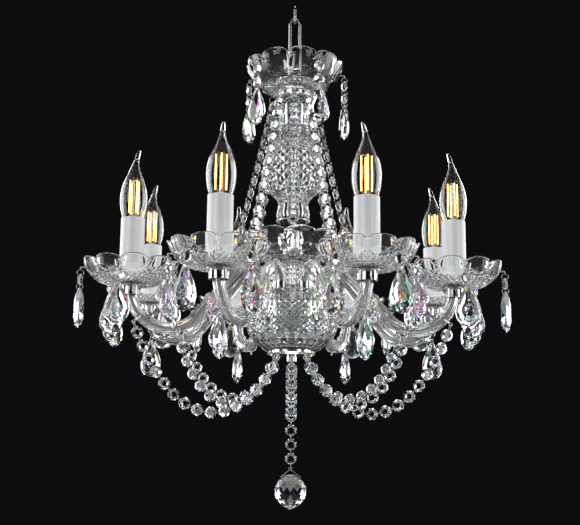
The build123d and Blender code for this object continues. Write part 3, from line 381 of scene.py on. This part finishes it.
def ring_faces(rows, columns, cut=(), closed=True):
    """The faces of rings of points, each ring joined to the next and the last to the first.

    Where both rows are cut, each cell is split between its two hollows, so the raised corners become
    pyramids.
    """
    faces, flat = [], []
    for i in range(rows if closed else rows - 1):
        after = (i + 1) % rows
        is_cut = i in cut and after in cut
        for j in range(columns):
            beside = (j + 1) % columns
            a, b, c, d = i * columns + j, i * columns + beside, after * columns + beside, after * columns + j
            if not is_cut:
                faces.append((a, b, c, d))
                flat.append(False)
            elif (i + j) % 2:
                faces += [(a, b, c), (a, c, d)]
                flat += [True, True]
            else:
                faces += [(a, b, d), (b, c, d)]
                flat += [True, True]
    return faces, ~np.array(flat)


def smooth_line(points, steps):
    """A smooth line through points, with the given number of steps between each two."""
    points = np.asarray(points, float)
    padded = np.vstack([2 * points[0] - points[1], points, 2 * points[-1] - points[-2]])
    line = []
    for a, b, c, d in zip(padded, padded[1:], padded[2:], padded[3:]):
        for t in np.arange(steps) / steps:
            square, cube = (2 * a - 5 * b + 4 * c - d) * t ** 2, (3 * b - a - 3 * c + d) * t ** 3
            line.append(0.5 * (2 * b + (c - a) * t + square + cube))
    line.append(points[-1])
    return np.array(line)


def at_angle(points, degrees, shift=(0, 0, 0)):
    turn = math.radians(degrees)
    c, s = math.cos(turn), math.sin(turn)
    points = np.asarray(points, float)
    x, y = points[:, 0] * c - points[:, 1] * s, points[:, 0] * s + points[:, 1] * c
    return np.stack([x, y, points[:, 2]], 1) + np.asarray(shift, float)


def turned_point(radius, turn, z):
    return (radius * math.cos(turn), radius * math.sin(turn), z)


# ---------------------------------------------------------------- dishes and drip pans
def dish_points(pattern, columns=DISH_COLUMNS):
    """Rings of a scalloped dish: foot, cut wall, ten petals with a round lens in each, rim and inner wall.

    Its foot stands at z = 0 and a notch between two petals is at angle 0.
    """
    rim_r, height, foot_r = pattern["rim_r"], pattern["height"], pattern["foot_r"]
    (ax, ay), (cx, cy) = (foot_r, 0), (rim_r, height)
    bx, by = foot_r + 0.72 * (rim_r - foot_r), 0.3 * height
    d = 2 * (ax * (by - cy) + bx * (cy - ay) + cx * (ay - by))
    a_far, b_far, c_far = ax ** 2 + ay ** 2, bx ** 2 + by ** 2, cx ** 2 + cy ** 2
    x = (a_far * (by - cy) + b_far * (cy - ay) + c_far * (ay - by)) / d
    y = (a_far * (cx - bx) + b_far * (ax - cx) + c_far * (bx - ax)) / d
    arc_r = math.hypot(ax - x, ay - y)
    first, last = math.atan2(ay - y, ax - x), math.atan2(cy - y, cx - x)
    length = arc_r * (last - first)
    per_petal = columns // PETALS
    share = (np.arange(columns) % per_petal) / per_petal
    off = np.abs(2 * share - 1)
    fall = (1 - np.sqrt(1 - (0.97 * off) ** 2)) / (1 - math.sqrt(1 - 0.97 ** 2))
    levels, shares = wall_table(x, y, arc_r, first, last)
    rim_turn = first + (last - first) * np.interp(height - PETAL_DROP * fall, levels, shares)
    angles = np.arange(columns) * 2 * math.pi / columns
    steps = int(length / (2 * math.pi * 0.7 * rim_r / columns))
    diamonds = pattern["cuts"] * PETALS
    diamond_height = pattern["cut_tall"] * 2 * math.pi * 0.7 * rim_r / diamonds
    rings, cut = [], set()

    def ring(number, t, depth, is_cut=False):
        """One ring at a share t of the wall's length, at a depth into the glass."""
        points = []
        blend = max(0.0, (t - 0.5) / 0.5)
        for j in range(columns):
            turn = first + (last - first) * t + (rim_turn[j] - last) * blend
            radius = arc_r - depth
            across = 2 * math.pi * (x + arc_r * math.cos(turn)) / PETALS * (share[j] - 0.5)
            if is_cut:
                along = (t - pattern["lens_at"]) * length / pattern["lens_tall"]
                near = math.hypot(across, along) / (pattern["lens_share"] * rim_r)
                if near < 1:
                    radius -= LENS_DEPTH * (1 - near ** 2)
                elif t < pattern["cuts_to"]:
                    u, v = j * diamonds / columns, t * length / diamond_height
                    slant = max(abs((u + v) % 1 - 0.5), abs((u - v) % 1 - 0.5))
                    radius -= CUT_DEPTH * 2 * slant * min(1.0, 8 * t, 4 * (near - 1) + 0.3)
                    cut.add(number * columns + j)
            notch = PETAL_NOTCH * off[j] ** 3 * blend ** 1.5
            out, up = x + radius * math.cos(turn) - notch, y + radius * math.sin(turn)
            points.append(turned_point(out, angles[j], up))
        rings.append(points)

    rings.append([turned_point(TUBE_BORE_R, a, 0) for a in angles])
    rings.append([turned_point(0.96 * foot_r, a, 0) for a in angles])
    for k in range(steps + 1):
        ring(len(rings), min(k / steps, 0.985), 0.0, k > 0)
    ring(len(rings), 1.0, 0.5)
    ring(len(rings), 1.0, GLASS_WALL - 1.1)
    for t in np.linspace(0.985, 0.15, 17):
        ring(len(rings), t, GLASS_WALL)
    rings.append([turned_point(0.55 * foot_r + 0.4 * TUBE_BORE_R, a, GLASS_WALL) for a in angles])
    rings.append([turned_point(TUBE_BORE_R, a, GLASS_WALL) for a in angles])
    return rings, cut


def wall_table(x, y, arc_r, first, last):
    """Levels along a dish wall and the shares of its length that they lie at, for reading back."""
    shares = np.linspace(0, 1, 60)
    return y + arc_r * np.sin(first + (last - first) * shares), shares


def scalloped_dish(name, node, rings, cut, turn, shift):
    columns = len(rings[0])
    points = at_angle(np.array(rings).reshape(-1, 3), turn, shift)
    faces, _ = ring_faces(len(rings), columns)
    smooth = np.array([len(cut.intersection(face)) < 3 for face in faces])
    dish = piece(name, points, faces, PRESSED_CRYSTAL, "lamp_frame", [node], smooth=smooth,
                 cut_material=CUT_CRYSTAL)
    outward(dish)


def dishes():
    rings, cut = dish_points(WIDE_DISH)
    for name, node in (("top_dish_glass", "top_dish"), ("central_dish_glass", "central_dish")):
        scalloped_dish(name, node, rings, cut, WIDE_DISH_TURN, (0, 0, level(node, 0)))
    rings, cut = dish_points(DRIP_PAN)
    for k in range(ARMS):
        left = math.cos(math.radians(arm_angle(k))) < 0
        centre = candle_place(k, level(f"drip_pan_{k + 1}", 0))
        turn = arm_angle(k) + (-DRIP_PAN_TURN if left else DRIP_PAN_TURN)
        scalloped_dish(f"drip_pan_{k + 1}_glass", f"drip_pan_{k + 1}", rings, cut, turn, centre)


# ---------------------------------------------------------------- column and bowl
def cut_body(name, node, rows, columns, material=COLUMN_CRYSTAL, hollow=None):
    """A turned glass body whose rows say how each ring is cut.

    A row is (z, radius, kind, depth). Kind "hobnail" leaves every second point of a row standing, shifted by one
    from row to row, "flute" every second column and "leaf" a ridge at every fourth. hollow gives the inner rings
    from the top down, for a bowl.
    """
    angles = np.arange(columns) * 2 * math.pi / columns
    rings, cut = [], set()
    for i, (z, radius, kind, depth) in enumerate(rows):
        ring = []
        for j, a in enumerate(angles):
            height = {"flute": j % 2, "hobnail": (i + j) % 2, "leaf": abs(j % 4 - 2) / 2}[kind]
            r = radius - depth * (1 - height)
            ring.append(turned_point(r, a, z))
        cut.add(i + 1)
        rings.append(ring)
    low, high = rows[0][0], rows[-1][0]
    rings.insert(0, [turned_point(TUBE_BORE_R, a, low) for a in angles])
    for r, z in hollow or ():
        rings.append([turned_point(r, a, z) for a in angles])
    if not hollow:
        rings.append([turned_point(TUBE_BORE_R, a, high) for a in angles])
    faces, _ = ring_faces(len(rings), columns, cut)
    body = piece(name, np.array(rings).reshape(-1, 3), faces, material, "lamp_frame", [node], smooth=False)
    outward(body)


def ball_body():
    low, high = level("ball_body", 0), level("ball_body", 1)
    foot_top = low + 0.28 * (high - low)
    foot = smooth_line([(20.4, low), (22.0, low + 6), (19.6, low + 20), (24.5, foot_top - 3)], 5)
    rows = [(z, r, "flute", 1.5) for r, z in foot]
    profile = [(28.0, 0.0), (38.5, 0.12), (42.1, 0.3), (41.4, 0.48)]
    profile += [(38.8, 0.63), (34.2, 0.78), (28.2, 0.9), (21.2, 1.0)]
    line = smooth_line([(r, foot_top + s * (high - foot_top)) for r, s in profile], 12)
    span = np.concatenate([[0], np.cumsum(np.hypot(*np.diff(line, axis=0).T))])
    for s in np.linspace(0, span[-1], 17):
        rows.append((np.interp(s, span, line[:, 1]), np.interp(s, span, line[:, 0]), "hobnail", 2.1))
    cut_body("ball_body_glass", "ball_body", rows, 44)


def vase_neck():
    low, high = level("vase_neck", 0), level("vase_neck", 1)
    profile = [(21.2, 0.0), (20.4, 0.14), (20.4, 0.38), (21.0, 0.62), (22.2, 0.86), (21.4, 1.0)]
    line = smooth_line([(r, low + s * (high - low)) for r, s in profile], 4)
    rows = []
    for r, z in line:
        share = (z - low) / (high - low)
        kind = "hobnail" if share < 0.2 or share > 0.8 else "flute"
        rows.append((z, r, kind, 1.3 if kind == "hobnail" else 1.9))
    cut_body("vase_neck_glass", "vase_neck", rows, 28)


def hub_neck():
    low, high = level("hub_neck", 0), level("hub_neck", 1)
    rows = []
    for s in np.linspace(0, 1, 10):
        r = 13.5 + 8.3 * math.sin(math.pi * (0.08 + 0.84 * s))
        rows.append((low + s * (high - low), r, "hobnail", 1.4))
    cut_body("hub_neck_glass", "hub_neck", rows, 28)


def bottom_bowl():
    """Upright flutes round the rim, crossed diamonds on the belly and a fan of long cuts from the foot."""
    low, high = level("bottom_bowl", 0), level("bottom_bowl", 1)
    profile = [(26.0, 0.0), (34.5, 0.03), (45.3, 0.11), (53.9, 0.24), (59.3, 0.4), (61.9, 0.7), (60.1, 1.0)]
    line = smooth_line([(r, low + s * (high - low)) for r, s in profile], 12)
    span = np.concatenate([[0], np.cumsum(np.hypot(*np.diff(line, axis=0).T))])
    columns = 88
    steps = 26
    rows = []
    for k in range(steps + 1):
        s = span[-1] * k / steps
        r, z = np.interp(s, span, line[:, 0]), np.interp(s, span, line[:, 1])
        if k < 11:
            rows.append((z, r, "leaf", 0.6 + 0.3 * k))
        elif k < 22:
            rows.append((z, r, "hobnail", 2.2))
        else:
            rows.append((z, r, "flute", 1.7))
    inside = [(row[1] - 5.6, row[0]) for row in rows[-3:7:-2]]
    inside += [(36.0, low + 8.0), (28.0, low + 5.4), (TUBE_BORE_R, low + 5.0)]
    hollow = [(rows[-1][1] - 4.8, high)] + inside
    cut_body("bottom_bowl_glass", "bottom_bowl", rows, columns, CUT_CRYSTAL, hollow)


# ---------------------------------------------------------------- arms
def arm_line():
    """One arm's middle line as (radius, level) points, from its socket in the hub to the candle's cup."""
    hub_top = level("arm_hub", 1) - 9.0
    over, under, bend, sweep = (59.0, hub_top + 9.0), (166.0, hub_top - 7.0), 21.0, 48.0
    dx, dz = under[0] - over[0], under[1] - over[1]
    fall = math.asin((bend + sweep) / math.hypot(dx, dz)) - math.atan2(dz, dx)
    points = [(SOCKET_CIRCLE_R, hub_top + 0.15), (SOCKET_CIRCLE_R, hub_top + 4.5)]
    for turn in np.linspace(-math.pi / 2, fall, 22):
        points.append((over[0] + bend * math.sin(turn), over[1] + bend * math.cos(turn)))
    start = points[-1]
    end = (under[0] - sweep * math.sin(fall), under[1] - sweep * math.cos(fall))
    for share in np.linspace(0, 1, 26)[1:-1]:
        points.append((start[0] + share * (end[0] - start[0]), start[1] + share * (end[1] - start[1])))
    for turn in np.linspace(-fall, math.pi / 2, 44):
        points.append((under[0] + sweep * math.sin(turn), under[1] - sweep * math.cos(turn)))
    return np.array(points)


def ribbed_arm_rings():
    """Rings of a ribbed glass tube along the arm's line, its ribs twisting gently, with a smooth bore."""
    line = arm_line()
    along = np.gradient(line, axis=0)
    along /= np.linalg.norm(along, axis=1)[:, None]
    length = np.concatenate([[0], np.cumsum(np.linalg.norm(np.diff(line, axis=0), axis=1))])
    columns = 40
    turns = np.arange(columns) * 2 * math.pi / columns
    outer, inner = [], []
    for (r, z), (tr, tz), s in zip(line, along, length):
        side = np.array([-tz, 0.0, tr])
        plain = not 8 < s < length[-1] - 10
        for ring, ribbed in ((outer, True), (inner, False)):
            points = []
            for turn in turns:
                size = 3.0
                if ribbed:
                    groove = 0.5 - 0.5 * math.cos(10 * turn)
                    size = ARM_R - (0.3 if plain else 0.05 + 0.85 * groove)
                twisted = turn + 0.5 * math.pi * s / length[-1]
                around = math.cos(twisted) * side + math.sin(twisted) * np.array([0, 1, 0])
                points.append(np.array([r, 0, z]) + size * around)
            ring.append(points)
    return outer + inner[::-1]


def arms():
    rings = ribbed_arm_rings()
    columns = len(rings[0])
    faces, _ = ring_faces(len(rings), columns)
    for k in range(ARMS):
        points = at_angle(np.array(rings).reshape(-1, 3), arm_angle(k))
        node = f"arm_{k + 1}"
        arm = piece(f"{node}_glass", points, faces, DRAWN_CRYSTAL, "lamp_frame", [node], smooth=True)
        outward(arm)


# ---------------------------------------------------------------- bulbs
TIP_ANGLES = (75, 165, 170, 170, 80, 100, 10, 15)


def bulb_rings():
    """Rings of a flame-shaped envelope with a bent tip, outside first and then its thin inside."""
    profile = [(0.60, -0.04), (0.74, 0.0), (0.88, 0.085), (0.97, 0.18), (0.998, 0.275), (0.965, 0.37)]
    profile += [(0.86, 0.465), (0.70, 0.555), (0.515, 0.64), (0.355, 0.72), (0.235, 0.80)]
    profile += [(0.165, 0.875), (0.13, 0.94), (0.085, 0.985)]
    line = smooth_line([(r * BULB_R, z * BULB_HEIGHT) for r, z in profile], 4)
    columns = 36
    turns = np.arange(columns) * 2 * math.pi / columns

    def ring(r, z):
        lean = max(0.0, (z / BULB_HEIGHT - 0.7) / 0.3)
        return [(r * math.cos(a) + 5.2 * lean ** 1.7, r * math.sin(a), z) for a in turns]

    outer = [ring(r, z) for r, z in line]
    inner = [ring(max(r - 0.7, 0.3), max(z, line[0][1] + 0.7)) for r, z in line if z < 0.86 * BULB_HEIGHT]
    return outer, inner


def shell_faces(rings, start):
    """Faces of a stack of rings, closed at both ends by a cap."""
    columns = len(rings[0])
    faces, _ = ring_faces(len(rings), columns, closed=False)
    faces.append(tuple(range(columns)))
    faces.append(tuple(range((len(rings) - 1) * columns, len(rings) * columns)))
    return [tuple(start + i for i in face) for face in faces]


def bulb_envelopes():
    outer, inner = bulb_rings()
    faces = shell_faces(outer, 0)
    outside = len(faces)
    faces += shell_faces(inner, len(outer) * len(outer[0]))
    points = np.array(outer + inner).reshape(-1, 3)
    for k in range(ARMS):
        placed = at_angle(points, TIP_ANGLES[k], candle_place(k, level("candle_sleeves", 1)))
        envelope = piece(f"bulb_{k + 1}_envelope", placed, faces, BULB_CRYSTAL, f"bulb_{k + 1}",
                         [f"bulb_{k + 1}_glass"], smooth=True)
        outward(envelope)
        turn_inside(envelope, outside)


def turn_inside(thing, outside):
    """Turns the inner skin's faces towards the hollow, so the glass between the two skins is thin."""
    shape = bmesh.new()
    shape.from_mesh(thing.data)
    shape.faces.ensure_lookup_table()
    bmesh.ops.reverse_faces(shape, faces=shape.faces[outside:])
    shape.to_mesh(thing.data)
    shape.free()


# ---------------------------------------------------------------- crystals, links and lamp bases
def loose_solids(node):
    """The separate solids of a CAD node, each as its points in millimetres and its triangles."""
    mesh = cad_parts[node].data
    mesh.calc_loop_triangles()
    corners = np.empty(len(mesh.vertices) * 3)
    mesh.vertices.foreach_get("co", corners)
    triangles = np.empty(len(mesh.loop_triangles) * 3, int)
    mesh.loop_triangles.foreach_get("vertices", triangles)
    _, first, same = np.unique(np.round(corners.reshape(-1, 3) / SAME_POINT), axis=0, return_index=True,
                               return_inverse=True)
    points = corners.reshape(-1, 3)[first] / MM
    triangles = same.ravel()[triangles].reshape(-1, 3)
    distinct = (triangles != np.roll(triangles, 1, axis=1)).all(axis=1)
    triangles = triangles[distinct]
    label = np.arange(len(points))
    while True:
        before = label.copy()
        low = label[triangles].min(axis=1)
        for corner in triangles.T:
            np.minimum.at(label, corner, low)
        label = label[label]
        if (label == before).all():
            break
    owner = label[triangles[:, 0]]
    order = np.argsort(owner, kind="stable")
    for own in np.split(triangles[order], np.flatnonzero(np.diff(owner[order])) + 1):
        used, own = np.unique(own, return_inverse=True)
        yield points[used], own.reshape(-1, 3)


def volume(points, triangles):
    a, b, c = (points[corner] for corner in triangles.T)
    return abs(np.einsum("ij,ij->", a, np.cross(b, c))) / 6


def gathered(name, solids, material, body, node, crisp=25.0):
    """One piece from several solids of a node, its facets crisp where they meet at more than an angle."""
    starts = np.cumsum([0] + [len(points) for points, _ in solids])
    points = np.vstack([points for points, _ in solids])
    triangles = np.vstack([start + own for start, (_, own) in zip(starts, solids)])
    group = piece(name, points, triangles, material, body, [node], smooth=True)
    group.data.set_sharp_from_angle(angle=math.radians(crisp))
    return group


def stones_and_wires(node, body):
    """The octagons, the drops and the links of a node, each kind as one piece."""
    solids = list(loose_solids(node))
    wires = [s for s in solids if volume(*s) <= SMALLEST_STONE]
    octagons = [s for s in solids if SMALLEST_STONE < volume(*s) <= SMALLEST_DROP]
    drops = [s for s in solids if volume(*s) > SMALLEST_DROP]
    gathered(f"{node}_octagons", octagons, OCTAGON_STONE, body, node, 6.0)
    if drops:
        gathered(f"{node}_drops", drops, CUT_STONE, body, node, 6.0)
    gathered(f"{node}_wires", wires, LINK_WIRE, body, node)


def hanging_crystals():
    for node in ("hanging_pendants", "column_strands", "swag_strands"):
        stones_and_wires(node, "lamp_frame")
    stones_and_wires("drop_strand", "bottom_drop")
    for k in range(TOP_PENDANTS):
        stones_and_wires(f"top_pendant_{k + 1}", f"pendant_{k + 1}")


def lamp_bases():
    """Each bulb's screw cap, its stem with the supports in wire metal, and its four glowing filaments."""
    for k in range(ARMS):
        node, body = f"bulb_{k + 1}_base", f"bulb_{k + 1}"
        solids = sorted(loose_solids(node), key=lambda s: -volume(*s))
        gathered(f"bulb_{k + 1}_cap", solids[:1], CAP_METAL, body, node)
        supports = [s for s in solids[1:] if np.ptp(s[0][:, 0]) > WIDEST_FILAMENT]
        glowing = [s for s in solids[1:] if np.ptp(s[0][:, 0]) <= WIDEST_FILAMENT]
        stem = gathered(f"bulb_{k + 1}_stem", supports, LINK_WIRE, body, node)
        filaments = gathered(f"bulb_{k + 1}_filaments", glowing, GLOW, body, node)
        axis = Vector(candle_place(k, 0)) * MM
        turned = Matrix.Translation(axis) @ Matrix.Rotation(FILAMENT_TURN, 4, "Z") @ Matrix.Translation(-axis)
        stem.data.transform(turned)
        filaments.data.transform(turned)


def dressed(node, material):
    """A CAD node that keeps its shape and gets its finish."""
    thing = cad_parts[node]
    thing.data.materials.clear()
    thing.data.materials.append(material)


def plain_nodes():
    for node in ("hanging_link", "hanging_bail"):
        dressed(node, BAIL_METAL)
    for node in ("top_nut", "centre_tube", "column_collars", "arm_hub", "bottom_plate", "arm_fittings"):
        dressed(node, CHROME)
    dressed("candle_sleeves", SLEEVE_WHITE)
    dressed("lamp_holders", HOLDER_WHITE)
    dressed("lamp_wires", WIRE_COAT)
    dressed("lower_neck", PRESSED_CRYSTAL)
    dressed("crystal_ball", CUT_STONE)


# ---------------------------------------------------------------- studio
def soft_box(name, place, target, width, height, watts, spread=100.0):
    lamp = bpy.data.lights.new(name, "AREA")
    lamp.shape = "RECTANGLE"
    lamp.spread = math.radians(spread)
    lamp.size, lamp.size_y, lamp.energy = width, height, watts
    box = bpy.data.objects.new(name, lamp)
    box.location = place
    box.rotation_euler = (Vector(target) - Vector(place)).to_track_quat("-Z", "Y").to_euler()
    box.visible_camera = False
    bpy.context.scene.collection.objects.link(box)
    return box


def studio():
    middle = (0.0, 0.0, -0.36)
    soft_box("left_panel", (-1.7, 0.2, -0.2), middle, 1.2, 2.2, 8.4)
    soft_box("right_panel", (1.7, 0.2, -0.2), middle, 1.2, 2.2, 7.6)
    soft_box("front_left", (-1.4, -1.9, 0.4), middle, 1.3, 1.3, 5.6)
    soft_box("front_right", (1.6, -1.7, 0.1), middle, 0.9, 1.5, 3.0)
    soft_box("overhead", (0.0, 0.2, 1.4), middle, 1.9, 1.9, 4.6, 70.0)
    soft_box("under", (0.0, -0.5, -1.9), middle, 1.5, 1.1, 3.0)
    soft_box("back_left", (-1.9, 1.7, 0.2), middle, 0.8, 1.7, 6.0)
    soft_box("back_right", (1.9, 1.7, 0.2), middle, 0.8, 1.7, 6.0)

    world = bpy.data.worlds.new("studio_dark")
    bpy.context.scene.world = world
    world.use_nodes = True
    tree = world.node_tree
    sky = tree.nodes["Background"]
    ray = add(tree, "ShaderNodeLightPath")
    seen = math_node(tree, "MAXIMUM", ray.outputs["Is Camera Ray"], ray.outputs["Is Transmission Ray"])
    seen = math_node(tree, "MAXIMUM", seen, ray.outputs["Is Glossy Ray"])
    mix = add(tree, "ShaderNodeMix", data_type="RGBA")
    tree.links.new(seen, mix.inputs["Factor"])
    colour_input(mix, "A").default_value = (0.30, 0.30, 0.31, 1.0)
    colour_input(mix, "B").default_value = (0.0042, 0.0042, 0.0050, 1.0)
    tree.links.new(colour_result(mix), sky.inputs["Color"])

    floor_mesh = bpy.data.meshes.new("studio_floor")
    shape = bmesh.new()
    bmesh.ops.create_circle(shape, cap_ends=True, segments=96, radius=14.0)
    shape.to_mesh(floor_mesh)
    shape.free()
    floor = bpy.data.objects.new("studio_floor", floor_mesh)
    floor.location = (0, 0, -2.6)
    material, tree, surface = shader("studio_floor")
    surface.inputs["Base Color"].default_value = (0.62, 0.62, 0.62, 1.0)
    surface.inputs["Roughness"].default_value = 0.9
    floor_mesh.materials.append(material)
    bpy.context.scene.collection.objects.link(floor)


def photo_camera():
    """The photograph's place and lens: in front, a little below the arms, looking up."""
    lens = bpy.data.cameras.new("photo_camera")
    lens.sensor_width = 36.0
    lens.lens = 981.8 / 580 * 36.0
    lens.clip_start, lens.clip_end = 0.05, 60.0
    camera = bpy.data.objects.new("photo_camera", lens)
    up = math.radians(10.93)
    back = Vector((0.0, -math.cos(up), -math.sin(up)))
    turn = back.to_track_quat("Z", "Y").to_matrix() @ Matrix.Rotation(math.radians(0.59), 3, "Z")
    camera.matrix_world = Matrix.Translation((-0.0034, -1.2637, -0.60045)) @ turn.to_4x4()
    bpy.context.scene.collection.objects.link(camera)
    bpy.context.scene.camera = camera


bpy.context.scene.view_settings.view_transform = "Standard"
photo_camera()
studio()
plain_nodes()
dishes()
ball_body()
vase_neck()
hub_neck()
bottom_bowl()
arms()
bulb_envelopes()
lamp_bases()
hanging_crystals()
